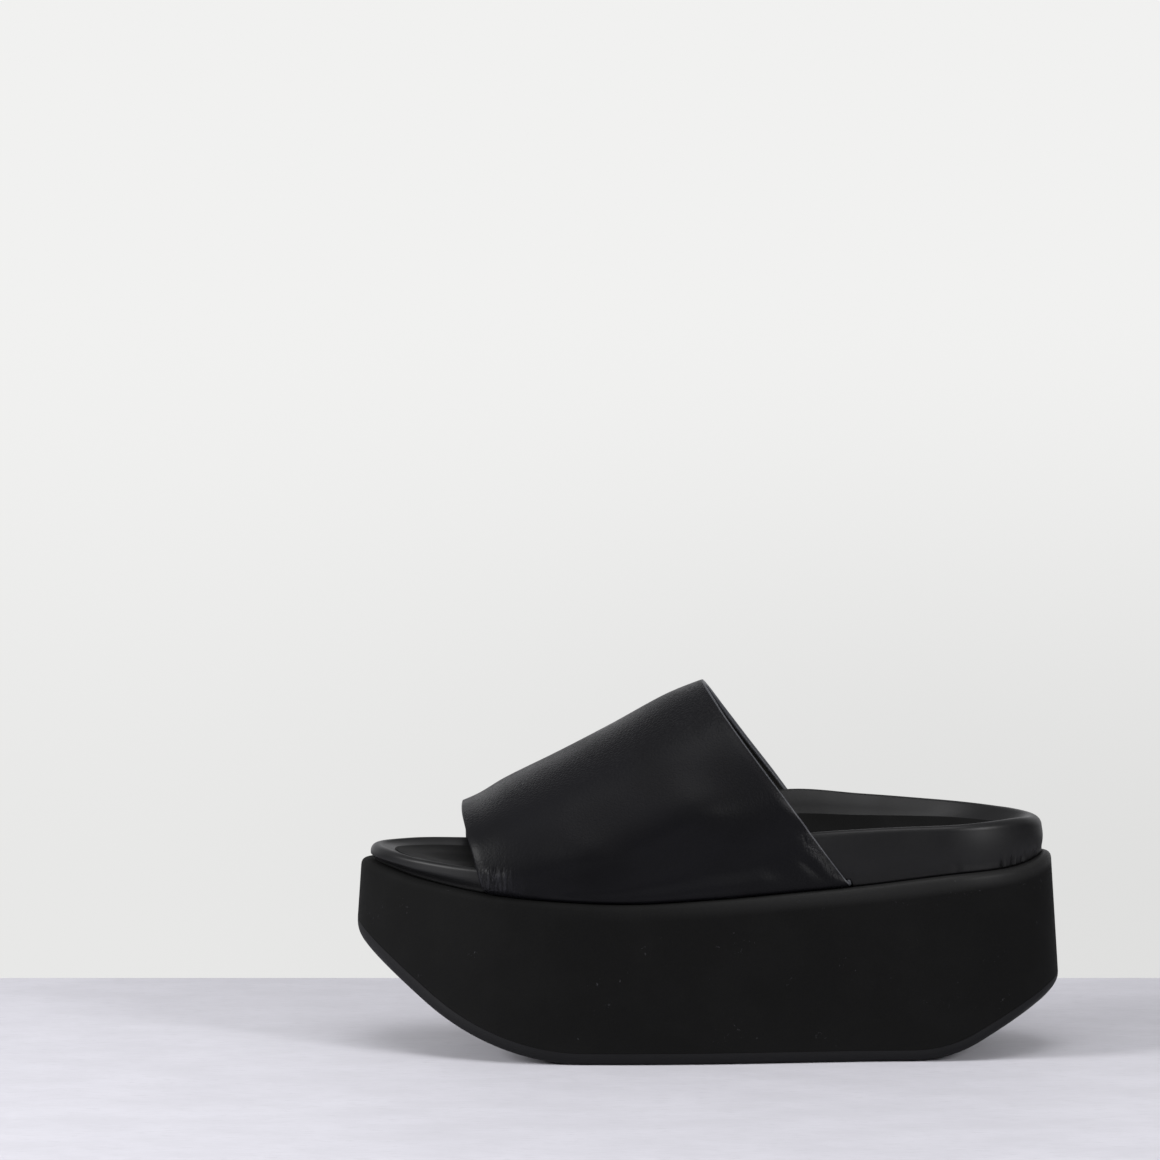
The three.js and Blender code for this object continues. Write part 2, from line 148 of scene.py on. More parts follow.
# Sections of the foot from toe to heel, in the shares that the frame's own sections have: at of the footbed's
# length, outer and inner half-widths of the ball width, deck of its rise, rims and pad of their heights.
SECTIONS = table(
    "at outer inner deck outer_rim inner_rim pad",
    (0.0, 0.489, 0.478, 0.702, 0.265, 0.181, 0.4),
    (0.03, 0.489, 0.478, 0.622, 0.298, 0.206, 0.42),
    (0.07, 0.489, 0.478, 0.471, 0.344, 0.27, 0.44),
    (0.16, 0.498, 0.487, 0.231, 0.428, 0.359, 0.6),
    (0.26, 0.509, 0.494, 0.08, 0.507, 0.448, 0.71),
    (0.38, 0.517, 0.458, 0.0, 0.642, 0.619, 0.8),
    (0.5, 0.5, 0.394, 0.093, 0.833, 0.829, 0.91),
    (0.62, 0.46, 0.344, 0.245, 1.0, 0.994, 1.0),
    (0.74, 0.422, 0.333, 0.417, 0.977, 0.863, 0.94),
    (0.86, 0.407, 0.342, 0.656, 0.86, 0.67, 0.86),
    (0.94, 0.403, 0.344, 0.768, 0.833, 0.571, 0.86),
    (0.97, 0.4015, 0.3415, 0.854, 0.78, 0.52, 0.86),
    (1.0, 0.4, 0.339, 1.0, 0.64, 0.437, 0.86),
)

# How soft two edges are: crest is the footbed's rim in RIM_ROUNDs, corner the sole's foot in HEEL_CORNERs.
ROUNDINGS = table(
    "at crest corner",
    (0.0, 1.4, 0.35),
    (0.03, 1.1, 0.35),
    (0.07, 0.8, 0.35),
    (0.16, 0.8, 0.35),
    (0.26, 0.9, 0.35),
    (0.38, 1.0, 0.35),
    (0.62, 1.0, 0.35),
    (0.74, 1.0, 0.4),
    (0.86, 1.1, 0.6),
    (0.94, 1.5, 0.9),
    (1.0, 2.0, 1.0),
)

# Sections of the vamp: crest of the instep height, ridge across the foot in ball widths, and fullness, the
# power of the arch's curve, where 2 is an ellipse.
VAMP_SECTIONS = table(
    "at crest ridge fullness",
    (0.12, 0.386, 0.07, 2.3),
    (0.16, 0.441, 0.073, 2.27),
    (0.2, 0.519, 0.075, 2.25),
    (0.28, 0.648, 0.075, 2.2),
    (0.36, 0.784, 0.07, 2.12),
    (0.44, 0.927, 0.06, 2.06),
    (0.495, 1.0, 0.055, 2.02),
    (0.56, 1.068, 0.05, 2.0),
    (0.64, 1.124, 0.04, 2.0),
    (0.72, 1.162, 0.03, 2.0),
)

# Creases and soft swells of the vamp. Each runs between two places on one side of it: along is the share of
# the way from its front to its rear edge, and up the share from the seam to the ridge. width is how far it
# fades to either side, and rise how far it stands out, or in.
VAMP_FOLDS = {
    "outer": table(
        "along up width rise",
        ((0.0, 0.36), (0.12, 0.29), 5.5, 1.5),
        ((0.36, 0.72), (0.29, 0.43), 7, 2.1),
        ((0.72, 1.0), (0.43, 0.4), 7, 0.9),
        ((0.28, 0.74), (0.05, 0.19), 7, -1.4),
        ((0.74, 0.96), (0.19, 0.23), 6, -1.0),
        ((0.45, 0.78), (0.02, 0.07), 2.6, 0.9),
        ((0.25, 0.95), (0.62, 0.72), 9, -0.5),
        ((0.02, 0.035), (0.02, 0.24), 0.8, 0.4),
        ((0.045, 0.055), (0.04, 0.26), 0.6, -0.3),
        ((0.07, 0.08), (0.03, 0.2), 0.7, 0.3),
        ((0.1, 0.115), (0.04, 0.19), 0.8, -0.25),
        ((0.5, 0.505), (0.22, 0.33), 0.8, -0.16),
        ((0.56, 0.565), (0.25, 0.36), 0.8, -0.09),
        ((0.955, 0.93), (0.0, 0.13), 1.2, -0.5),
        ((1.01, 1.0), (0.08, 0.26), 2.2, -1.2),
    ),
    "inner": table(
        "along up width rise",
        ((0.0, 0.5), (0.16, 0.36), 8, 1.0),
        ((0.5, 1.0), (0.36, 0.44), 9, 1.2),
        ((0.25, 0.9), (0.05, 0.18), 7, -0.8),
        ((0.6, 0.98), (0.76, 0.6), 8, -0.5),
        ((0.04, 0.06), (0.02, 0.22), 1.2, -0.28),
        ((0.09, 0.1), (0.02, 0.17), 1.0, 0.2),
        ((0.95, 0.93), (0.0, 0.12), 1.3, -0.3),
    ),
}

# Short pleats where the footbed's leather is drawn in under its edge: at is the share of the length, and
# reach how far up the wall a pleat goes.
FOOTBED_PLEATS = {
    "outer": table(
        "at reach width rise",
        (0.868, 4, 0.8, -0.3),
        (0.934, 5, 0.5, -0.7),
        (0.949, 6, 0.5, -0.75),
        (0.966, 4, 0.5, -0.6),
        (0.985, 5, 0.9, -0.25),
    ),
    "inner": table(
        "at reach width rise",
        (0.982, 6, 0.8, -0.3),
        (0.965, 4, 0.8, -0.4),
        (0.94, 5, 0.7, -0.45),
        (0.9, 4, 0.8, -0.3),
        (0.012, 3, 0.8, -0.2),
        (0.035, 3, 0.8, -0.3),
    ),
}

# How finely the surfaces are divided
HALF_RING = 320
VAMP_STEPS_ALONG = 140
VAMP_STEPS_ACROSS = {"margin": 5, "turn": 6, "wall": 16, "arch": 84}
CUT_EDGE_STEPS = 7
TREAD_STEPS_ACROSS = 48
OUTSOLE_CORNER_STEPS = 7
PLATFORM_EDGE_STEPS = 6
PLATFORM_WALL_RINGS = 15
CUP_RINGS = 13
RIM_RINGS = 13
FOOTBED_WALL_RINGS = 15
TUCK_STEPS = 4
SOCK_RINGS = 22

# Rings of the flatter faces, as shares of the way from their middle line to their edge
OUTSOLE_TOP = (0, 0.4, 0.7, 0.9, 0.98, 1)
PLATFORM_TOP = (0, 0.4, 0.7, 0.9, 0.97)
PLATFORM_FOOT = (0.98, 0.9, 0.7, 0.4, 0)
FOOTBED_FOOT = (0.85, 0.5, 0)

SHARP_DEGREES = 40  # edges that are sharper than this are shaded as edges
SETTLING_ROUNDS = 12  # for a point whose place depends on its own height
HALF_STEP = 0.5  # half of the length over which a slope is measured
SIGNS = {"outer": -1, "inner": 1}


def lerp(a, b, t):
    return a + (b - a) * t


def smooth_step(low, high, value):
    t = np.clip((value - low) / (high - low), 0, 1)
    return t * t * (3 - 2 * t)


def bell(distance, width):
    return np.exp(-(distance**2) / (2 * width**2))


def sided(tables):
    """Every row of two tables, one for each side, with the name of its side."""
    return [(side, row) for side, rows in tables.items() for row in rows]


def along(rows, column, at):
    """A table's column at shares of the length, on a smooth curve through its rows."""
    place = np.array([row["at"] for row in rows])
    value = np.array([row[column] for row in rows])
    before = np.maximum(np.arange(len(rows)) - 1, 0)
    after = np.minimum(np.arange(len(rows)) + 1, len(rows) - 1)
    slope = (value[after] - value[before]) / (place[after] - place[before])
    i = np.clip(np.searchsorted(place, at, side="right") - 1, 0, len(rows) - 2)
    span = place[i + 1] - place[i]
    t = np.clip((at - place[i]) / span, 0, 1)
    start = (2 * t**3 - 3 * t**2 + 1) * value[i] + (t**3 - 2 * t**2 + t) * span * slope[i]
    return start + (3 * t**2 - 2 * t**3) * value[i + 1] + (t**3 - t**2) * span * slope[i + 1]


def rolled(past, radius, slope):
    """How high the underside is at this distance past its flat: an arc, then straight on at its slope."""
    angle = math.atan(slope)
    arc = radius * math.sin(angle)
    bent = radius - np.sqrt(radius**2 - np.clip(past, 0, arc) ** 2)
    return bent + np.maximum(past - arc, 0) * slope


class Last:
    """The mule's own shape, worked out from the panel's sizes."""

    def __init__(self, sizes):
        for name in sizes.bl_rna.properties.keys():
            if name not in GROUP_OWN:
                setattr(self, name, getattr(sizes, name) / MM)
        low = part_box("footbed")[0] / MM
        self.toe_x = low.x
        self.shift_y = 0
        self.shift_y = low.y - self.outline_points(HALF_RING)["y"].min()

    def share(self, x):
        return np.clip((x - self.toe_x) / self.footbed_length, 0, 1)

    def edge_y(self, at, side):
        """The footbed's edge on one side, at a share of its length."""
        full = SIGNS[side] * along(SECTIONS, side, at) * self.ball_width
        toe_round = OUTER_TOE_ROUND if side == "outer" else INNER_TOE_ROUND
        heel = np.sqrt(1 - (1 - np.minimum((1 - at) / HEEL_ROUND, 1)) ** 2)
        toe = np.sqrt(1 - (1 - np.minimum(at / toe_round, 1)) ** 2)
        edge = np.where(at > 0.5, lerp(HEEL_TIP_Y, full, heel), lerp(TOE_TIP_Y, full, toe))
        return edge + self.shift_y

    def grown_edge_y(self, x, side, grow):
        at = self.share(x)
        step = 1 / self.footbed_length
        before, after = np.clip(at - step, 0, 1), np.clip(at + step, 0, 1)
        slope = (self.edge_y(after, side) - self.edge_y(before, side)) / 2
        return self.edge_y(at, side) + SIGNS[side] * grow * np.hypot(1, slope)

    def deck(self, x):
        return self.deck_low + self.deck_rise * along(SECTIONS, "deck", self.share(x))

    def pad(self, x):
        return self.deck(x) + PAD_THICKNESS * along(SECTIONS, "pad", self.share(x))

    def crest(self, x):
        return self.deck_low + self.instep_height * along(VAMP_SECTIONS, "crest", self.share(x))

    def rim(self, x, side):
        height = self.outer_rim if side == "outer" else self.inner_rim
        return self.deck(x) + height * along(SECTIONS, side + "_rim", self.share(x))

    def ground(self, x):
        toe = rolled(self.toe_x + FLAT_FROM_TOE - x, **TOE_ROLL)
        heel = rolled(x - (self.toe_x + self.footbed_length - FLAT_FROM_HEEL), **HEEL_ROLL)
        return toe + heel

    def above_ground(self, x, thickness):
        slope = (self.ground(x + HALF_STEP) - self.ground(x - HALF_STEP)) / (2 * HALF_STEP)
        return self.ground(x) + thickness * np.hypot(1, slope)

    def outline_points(self, half):
        """Stations round the footbed: down the outer side to the heel and back up the inner side."""
        i = np.arange(2 * half)
        at = (1 - np.cos(np.pi * i / half)) / 2
        outer = i <= half
        y = np.where(outer, self.edge_y(at, "outer"), self.edge_y(at, "inner"))
        x = self.toe_x + at * self.footbed_length
        run_x, run_y = np.roll(x, -1) - np.roll(x, 1), np.roll(y, -1) - np.roll(y, 1)
        run = np.hypot(run_x, run_y)
        middle_at = lerp(OUTER_TOE_ROUND / 2, 1 - HEEL_ROUND, at)
        middle_y = (self.edge_y(middle_at, "outer") + self.edge_y(middle_at, "inner")) / 2
        middle_x = self.toe_x + middle_at * self.footbed_length
        rim = np.where(outer, self.rim(x, "outer"), self.rim(x, "inner"))
        return {
            "at": at, "outer": outer, "x": x, "y": y, "nx": run_y / run, "ny": -run_x / run,
            "mx": middle_x, "my": middle_y,
            "rim": rim, "rim_round": RIM_ROUND * along(ROUNDINGS, "crest", at),
        }


def ring(st, grow, z, share=1.0):
    """The outline moved out by grow and drawn in to a share of its way from the middle line."""
    x = lerp(st["mx"], st["x"] + st["nx"] * grow, share)
    y = lerp(st["my"], st["y"] + st["ny"] * grow, share)
    return np.column_stack([x, y, z(x) if callable(z) else np.broadcast_to(z, x.shape)])


def bend(start, corner, end, steps):
    """Values on the way round a corner, without its two ends."""
    t = (np.arange(steps - 1) + 1) / steps
    return [(1 - s) ** 2 * start + 2 * s * (1 - s) * corner + s**2 * end for s in t]


def new_object(name, points, faces, materials, face_materials=None):
    """An object of these points, given in millimetres, smooth apart from its sharp edges."""
    mesh = bpy.data.meshes.new(name)
    mesh.from_pydata((points * MM).tolist(), [], faces)
    for material in materials:
        mesh.materials.append(material)
    if face_materials is not None:
        mesh.polygons.foreach_set("material_index", face_materials)
    mesh.validate()
    mesh.shade_smooth()
    mesh.set_sharp_from_angle(angle=math.radians(SHARP_DEGREES))
    made = bpy.data.objects.new(name, mesh)
    bpy.context.scene.collection.objects.link(made)
    return made


def mark_points(piece, name, values):
    """Gives each point of a piece a number that its material reads by this name."""
    piece.data.attributes.new(name, "FLOAT", "POINT").data.foreach_set("value", values.ravel())


def grid_faces(rows, columns, closed=False):
    """Quads between neighbouring rows of points, turned to face the side that the rows' order gives."""
    faces = []
    for r in range(rows - 1):
        for c in range(columns if closed else columns - 1):
            a, b = r * columns + c, r * columns + (c + 1) % columns
            faces.append((a, a + columns, b + columns, b))
    return faces


def welded(faces, weld=None):
    """The faces without doubled corners. weld gives the point to use in place of another."""
    weld = weld or {}
    clean = [list(dict.fromkeys(weld.get(i, i) for i in face)) for face in faces]
    return [face for face in clean if len(face) > 2]


def ringed(name, rings, materials):
    """A closed body from rings, from the top's middle line over the edge to the bottom's middle line."""
    count = len(rings[0])
    faces = grid_faces(len(rings), count, closed=True)
    weld = {}
    for first in (0, (len(rings) - 1) * count):
        for i in range(count // 2 + 1, count):
            weld[first + i] = first + count - i
    return new_object(name, np.concatenate(rings), welded(faces, weld), materials)


def ride_and_replace(piece, node):
    """Puts a piece in its CAD node's place."""
    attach(piece, "root")
    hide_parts(node)
    return piece


# Materials

WARP_SPACING = 1.7  # how far apart the bends in the edges of cells are, in cells
MIX_FIRST, MIX_SECOND, MIX_RESULT = 6, 7, 2  # a mix node's colour sockets, which share names with others


def linear(srgb_hex):
    """A six-digit sRGB hex colour as linear red, green, blue and alpha."""
    parts = [int(srgb_hex[i : i + 2], 16) / 255 for i in (0, 2, 4)]
    return [c / 12.92 if c <= 0.04045 else ((c + 0.055) / 1.055) ** 2.4 for c in parts] + [1.0]


def add(tree, kind, links=None, **settings):
    """Adds a node. links gives its inputs a value or a node's output, and settings are its own options."""
    node = tree.nodes.new(kind)
    for name, value in settings.items():
        setattr(node, name, value)
    for socket, value in (links or {}).items():
        if isinstance(value, bpy.types.NodeSocket):
            tree.links.new(value, node.inputs[socket])
        else:
            node.inputs[socket].default_value = value
    return node


def new_material(name):
    material = bpy.data.materials.new(name)
    material.use_nodes = True
    material.node_tree.nodes.clear()
    return material, material.node_tree


def per_metre(millimetres):
    """A texture's scale for a pattern whose features are this far apart."""
    return 1 / (millimetres * MM)


def pattern(tree, spacing_mm, stretch=(1, 1, 1), detail=2.0, roughness=0.5):
    """Noise whose features are spacing_mm apart, drawn out along an axis whose stretch is over 1."""
    place = add(tree, "ShaderNodeTexCoord").outputs["Object"]
    scale = [per_metre(spacing_mm) / s for s in stretch]
    drawn = add(tree, "ShaderNodeVectorMath", {0: place, 1: scale}, operation="MULTIPLY").outputs[0]
    links = {"Vector": drawn, "Scale": 1.0, "Detail": detail, "Roughness": roughness}
    return add(tree, "ShaderNodeTexNoise", links).outputs["Fac"]


def cells(tree, spacing_mm, feature, warp_mm=0.0):
    """Distances in cells spacing_mm across, with their edges wandering by warp_mm."""
    place = add(tree, "ShaderNodeTexCoord").outputs["Object"]
    if warp_mm:
        links = {"Vector": place, "Scale": per_metre(spacing_mm * WARP_SPACING), "Detail": 1.0}
        noise = add(tree, "ShaderNodeTexNoise", links).outputs["Color"]
        centred = add(tree, "ShaderNodeVectorMath", {0: noise, 1: (-0.5, -0.5, -0.5)}, operation="ADD")
        links = {0: centred.outputs[0], "Scale": warp_mm * MM}
        moved = add(tree, "ShaderNodeVectorMath", links, operation="SCALE").outputs[0]
        place = add(tree, "ShaderNodeVectorMath", {0: place, 1: moved}, operation="ADD").outputs[0]
    links = {"Vector": place, "Scale": per_metre(spacing_mm)}
    return add(tree, "ShaderNodeTexVoronoi", links, feature=feature).outputs["Distance"]


def mapped(tree, value, low, high, to_low=0.0, to_high=1.0):
    """value carried from one range to another, with soft ends."""
    links = {"Value": value, "From Min": low, "From Max": high, "To Min": to_low, "To Max": to_high}
    return add(tree, "ShaderNodeMapRange", links, interpolation_type="SMOOTHSTEP").outputs["Result"]


def mixed(tree, fac, first, second):
    """One colour changing into another as fac goes from 0 to 1."""
    links = {0: fac, MIX_FIRST: first, MIX_SECOND: second}
    return add(tree, "ShaderNodeMix", links, data_type="RGBA").outputs[MIX_RESULT]


def bumps(tree, layers):
    """Stacked bumps: each layer is a height from 0 to 1 and how tall that is in millimetres."""
    normal = None
    for height, tall_mm in layers:
        links = {"Height": height, "Distance": tall_mm * MM, "Strength": 1.0}
        if normal is not None:
            links["Normal"] = normal
        normal = add(tree, "ShaderNodeBump", links).outputs["Normal"]
    return normal


def surface(tree, colour, roughness, normal, ior=1.5, specular=0.5):
    """Ends a material in one Principled shader."""
    links = {"Base Color": colour, "Roughness": roughness, "Normal": normal, "IOR": ior}
    links["Specular IOR Level"] = specular
    shader = add(tree, "ShaderNodeBsdfPrincipled", links)
    add(tree, "ShaderNodeOutputMaterial", {"Surface": shader.outputs["BSDF"]})


def scaled(colour, factor):
    """A linear colour with this much more or less light in it."""
    return [min(c * factor, 1.0) for c in colour[:3]] + [1.0]


def toned(tree, fac, colour, factor):
    """One colour that gets this much lighter or darker as fac goes from 0 to 1."""
    return mixed(tree, fac, list(colour), scaled(colour, factor))


def times(tree, first, second):
    return add(tree, "ShaderNodeMath", {0: first, 1: second}, operation="MULTIPLY").outputs[0]


def grained_calf(colours):
    """Vamp: full-grain calf, drum dyed and lightly waxed.

    Pebbled grain breaks up the light along the ridge. Down the sides it is drawn smooth and keeps a low,
    cloudy sheen. At the ends of the seam it is creased, and the creases' crests are painted paler as a
    highlight.
    """
    material, tree = new_material("Full-grain calf, drum dyed and waxed")
    loose = add(tree, "ShaderNodeAttribute", attribute_name="grain").outputs["Fac"]
    cloud = mapped(tree, pattern(tree, 38), 0.36, 0.64)
    pebbles = mapped(tree, cells(tree, 1.5, "DISTANCE_TO_EDGE", warp_mm=1.1), 0.0, 0.3)
    fine = pattern(tree, 0.6, detail=3.0, roughness=0.6)
    drawn = pattern(tree, 1.5, stretch=(1, 1, 7))
    creased = add(tree, "ShaderNodeAttribute", attribute_name="creased").outputs["Fac"]
    wrinkles = times(tree, mapped(tree, pattern(tree, 1.1, stretch=(1, 1, 5), detail=3.0), 0.3, 0.7), creased)
    layers = [(drawn, 0.035), (wrinkles, 0.3), (times(tree, pebbles, loose), 0.16), (fine, 0.03)]
    normal = bumps(tree, layers)
    plain = toned(tree, cloud, colours.vamp, 1.4)
    # The crests of the creases are painted paler: a painted highlight low on the front and rear of the vamp.
    colour = mixed(tree, times(tree, creased, wrinkles), plain, scaled(colours.vamp, 4.0))
    roughness = mapped(tree, cloud, 0.0, 1.0, 0.43, 0.36)
    surface(tree, colour, roughness, normal, specular=0.08)
    return material


def suede_split(colours):
    """Vamp lining: split hide, sueded on its open side.

    It has no gloss, and its nap lies in patches that are a little lighter and darker.
    """
    material, tree = new_material("Split hide, sueded")
    patches = mapped(tree, pattern(tree, 6, detail=4.0, roughness=0.6), 0.35, 0.65)
    nap = pattern(tree, 0.6, detail=3.0, roughness=0.7)
    colour = toned(tree, patches, colours.lining, 1.7)
    surface(tree, colour, 0.92, bumps(tree, [(nap, 0.1)]), ior=1.45, specular=0.2)
    return material


def cut_edge(colours):
    """Vamp edge: the hide's fibres where the knife cut it, inked and rubbed round.

    A little paler and bluer than the grain side: partly the raw fibre's own tone and partly a painted
    highlight along the edge. It has a fine fibrous tooth.
    """
    material, tree = new_material("Cut hide edge, inked")
    fibres = pattern(tree, 0.8, detail=3.0, roughness=0.7)
    paler = mapped(tree, fibres, 0.35, 0.65)
    # The cut edge's paler, bluer colour is partly a painted highlight.
    colour = toned(tree, paler, colours.cut_edge, 1.7)
    surface(tree, colour, 0.45, bumps(tree, [(fibres, 0.06)]))
    return material


def smooth_calf(colours):
    """Footbed: thin aniline calf, stretched over a moulded cup and rubbed.

    Almost no grain is left, so it keeps one soft satin highlight, with faint stretch lines and rubbed
    patches.
    """
    material, tree = new_material("Aniline calf, stretched and rubbed")
    rubbed = mapped(tree, pattern(tree, 26), 0.38, 0.66)
    lines = pattern(tree, 1.4, stretch=(1, 1, 5))
    fine = pattern(tree, 0.7, detail=3.0, roughness=0.6)
    normal = bumps(tree, [(lines, 0.025), (fine, 0.02)])
    colour = toned(tree, rubbed, colours.footbed, 1.35)
    roughness = mapped(tree, rubbed, 0.0, 1.0, 0.46, 0.38)
    surface(tree, colour, roughness, normal, specular=0.22)
    return material


def sock_leather(colours):
    """Sock: vegetable-tanned lining leather, dyed through.

    Matt and close, a little shinier where a foot would rub it.
    """
    material, tree = new_material("Lining leather, dyed through")
    rubbed = mapped(tree, pattern(tree, 30), 0.4, 0.62)
    pores = mapped(tree, cells(tree, 0.9, "F1"), 0.0, 0.5)
    normal = bumps(tree, [(pattern(tree, 9), 0.12), (pores, 0.03)])
    colour = toned(tree, rubbed, colours.sock, 1.3)
    roughness = mapped(tree, rubbed, 0.0, 1.0, 0.72, 0.64)
    surface(tree, colour, roughness, normal, specular=0.08)
    return material


def buffed_foam(colours):
    """Platform: closed-cell foam rubber, cut from sheet and buffed.

    It takes the light flat and deep black, with a fine open tooth and a few small nicks. Its top edge is
    smoother, and painted paler there as a highlight.
    """
    material, tree = new_material("Closed-cell foam, buffed")
    tooth = pattern(tree, 0.5, detail=3.0, roughness=0.7)
    uneven = pattern(tree, 20, detail=3.0)
    flecks = mapped(tree, pattern(tree, 1.8, detail=4.0, roughness=0.75), 0.64, 0.68)
    nicks = times(tree, flecks, mapped(tree, pattern(tree, 14, detail=1.0), 0.58, 0.66))
    normal = bumps(tree, [(uneven, 0.3), (nicks, 0.08), (tooth, 0.05)])
    base = toned(tree, mapped(tree, uneven, 0.4, 0.65), colours.foam, 1.3)
    sheen_and_painted_highlight = add(tree, "ShaderNodeAttribute", attribute_name="rubbed").outputs["Fac"]
    # The band round the top edge is painted five times paler: a painted highlight on the rounded edge.
    worn = mixed(tree, sheen_and_painted_highlight, base, scaled(colours.foam, 5.0))
    colour = mixed(tree, nicks, worn, list(colours.nick))
    roughness = mapped(tree, sheen_and_painted_highlight, 0.0, 1.0, 0.8, 0.48)
    surface(tree, colour, roughness, normal, ior=1.45, specular=0.12)
    return material


def moulded_rubber(colours):
    """Outsole: black rubber, pressed in a smooth mould.

    A touch paler and bluer than the foam, with an even low shine.
    """
    material, tree = new_material("Rubber, moulded")
    bloom = pattern(tree, 12, detail=3.0)
    tooth = pattern(tree, 0.6)
    colour = toned(tree, mapped(tree, bloom, 0.4, 0.65), colours.rubber, 1.3)
    roughness = mapped(tree, bloom, 0.3, 0.7, 0.6, 0.72)
    surface(tree, colour, roughness, bumps(tree, [(tooth, 0.03)]), ior=1.52, specular=0.18)
    return material


def painted_board(colours):
    """Floor: a board painted matt, pale grey with a breath of lilac, and brushed from side to side."""
    material, tree = new_material("Board, painted matt")
    clouds = mapped(tree, pattern(tree, 24, stretch=(1.7, 1, 1), detail=5.0, roughness=0.65), 0.3, 0.7)
    brushed = pattern(tree, 1.3, stretch=(6, 1, 1), detail=3.0, roughness=0.65)
    worn = mapped(tree, brushed, 0.52, 0.72)
    base = mixed(tree, clouds, scaled(colours.floor, 0.92), list(colours.floor))
    colour = mixed(tree, worn, base, scaled(colours.floor, 0.85))
    surface(tree, colour, 0.6, bumps(tree, [(brushed, 0.08)]), ior=1.45, specular=0.3)
    return material


# Pieces


def make_outsole(last, colours):
    """The rubber sheet under the platform: a rounded edge and a grooved underside."""
    st, _, corner, joint = sole_wall(last)
    layer = last.outsole_thickness - SEAM_GAP
    top_z = last.above_ground(st["x"] + st["nx"] * joint, layer)
    foot = corner["grow"] - HEEL_CORNER * along(ROUNDINGS, "corner", st["at"])
    foot_z = last.ground(st["x"] + st["nx"] * foot)
    rings = [ring(st, joint, lambda x: last.above_ground(x, layer), share) for share in OUTSOLE_TOP]
    steps = OUTSOLE_CORNER_STEPS
    for grow, z in zip(bend(joint, corner["grow"], foot, steps), bend(top_z, corner["z"], foot_z, steps)):
        rings.append(ring(st, grow, z))
    rings.append(ring(st, foot, foot_z))
    count = len(st["x"])
    points = np.concatenate(rings)
    faces = grid_faces(len(rings), count, closed=True)
    weld = {i: count - i for i in range(HALF_RING + 1, count)}
    under, under_faces = tread(last, rings[-1], len(points), (len(rings) - 1) * count)
    points = np.concatenate([points, under])
    faces = welded(faces, weld) + under_faces
    piece = new_object("outsole_rubber", points, faces, [moulded_rubber(colours)])
    return ride_and_replace(piece, "outsole")


def sole_wall(last):
    """The stations, the deck, where the wall would meet the underside, and how far out the joint is."""
    st = last.outline_points(HALF_RING)
    deck = last.deck(st["x"])
    grow = last.sole_ledge + SOLE_DRAFT * deck
    for _ in range(SETTLING_ROUNDS):
        z = last.ground(st["x"] + st["nx"] * grow)
        grow = last.sole_ledge + SOLE_DRAFT * (deck - z)
    joint = last.sole_ledge + SOLE_DRAFT * (deck - z - last.outsole_thickness)
    return st, deck, {"grow": grow, "z": z}, joint


def tread(last, rim, first, rim_start):
    """The grooved underside, between the two sides of the rim: its new points, and all of its faces."""
    half = len(rim) // 2
    rows = []
    for i in range(1, half):
        across = np.linspace(0, 1, TREAD_STEPS_ACROSS + 1)[1:-1]
        line = lerp(rim[i], rim[-i], across[:, None])
        width = abs(rim[-i][1] - rim[i][1])
        inside = np.minimum(across, 1 - across) * width
        from_end = min(line[0][0] - rim[0][0], rim[half][0] - line[0][0])
        x = line[:, 0]
        phase = np.abs((x / TREAD_PITCH) % 1 - 0.5) * TREAD_PITCH
        groove = 1 - smooth_step(TREAD_GROOVE / 2 - TREAD_SOFTNESS, TREAD_GROOVE / 2 + TREAD_SOFTNESS, phase)
        border = smooth_step(TREAD_BORDER, TREAD_BORDER + BORDER_SOFTNESS, np.minimum(inside, from_end))
        line[:, 2] = last.ground(x) + TREAD_DEPTH * groove * border
        rows.append(line)
    points = np.concatenate(rows)
    width = TREAD_STEPS_ACROSS - 1

    def index(i, k):
        """The point at station i, k steps across from the outer side."""
        if k == 0 or i in (0, half):
            return rim_start + i
        return rim_start + 2 * half - i if k == width + 1 else first + (i - 1) * width + k - 1

    quads = [
        (index(i, k), index(i + 1, k), index(i + 1, k + 1), index(i, k + 1))
        for i in range(half)
        for k in range(width + 1)
    ]
    return points, welded(quads)


def make_platform(last, colours):
    """The foam block between deck and outsole."""
    st, deck, _, joint = sole_wall(last)
    inset = last.sole_ledge - SOLE_EDGE_ROUND
    wall_top = last.sole_ledge + SOLE_DRAFT * SOLE_EDGE_ROUND
    rings = [ring(st, inset, last.deck, share) for share in PLATFORM_TOP]
    rings.append(ring(st, inset, deck))
    steps = PLATFORM_EDGE_STEPS
    heights = bend(deck, deck, deck - SOLE_EDGE_ROUND, steps)
    for grow, z in zip(bend(inset, last.sole_ledge, wall_top, steps), heights):
        rings.append(ring(st, grow, z))
    foot_z = last.above_ground(st["x"] + st["nx"] * joint, last.outsole_thickness)
    for share in np.linspace(0, 1, PLATFORM_WALL_RINGS):
        rings.append(ring(st, lerp(wall_top, joint, share), lerp(deck - SOLE_EDGE_ROUND, foot_z, share)))
    for share in PLATFORM_FOOT:
        rings.append(ring(st, joint, lambda x: last.above_ground(x, last.outsole_thickness), share))
    piece = ringed("platform_foam", rings, [buffed_foam(colours)])
    # Marks the band round the top edge, which is smoother and painted paler as a highlight.
    rubbed = np.zeros((len(rings), len(st["x"])))
    rubbed[len(PLATFORM_TOP) : len(PLATFORM_TOP) + steps + 1] = smooth_step(*SHEEN_AND_HIGHLIGHT_SPAN, st["at"])
    mark_points(piece, "rubbed", rubbed)
    return ride_and_replace(piece, "platform")


def cup_ring(last, st, share, lift=0.0):
    """A ring of the cup's surface, at a share of the way from its middle line to the rim's round."""
    edge_z = st["rim"] - st["rim_round"] * (1 - math.sin(math.radians(CUP_MEETS_RIM)))
    grow = st["rim_round"] * (math.cos(math.radians(CUP_MEETS_RIM)) - 1)
    return ring(st, grow, lambda x: lerp(last.pad(x), edge_z, share**CUP_POWER) + lift, share)


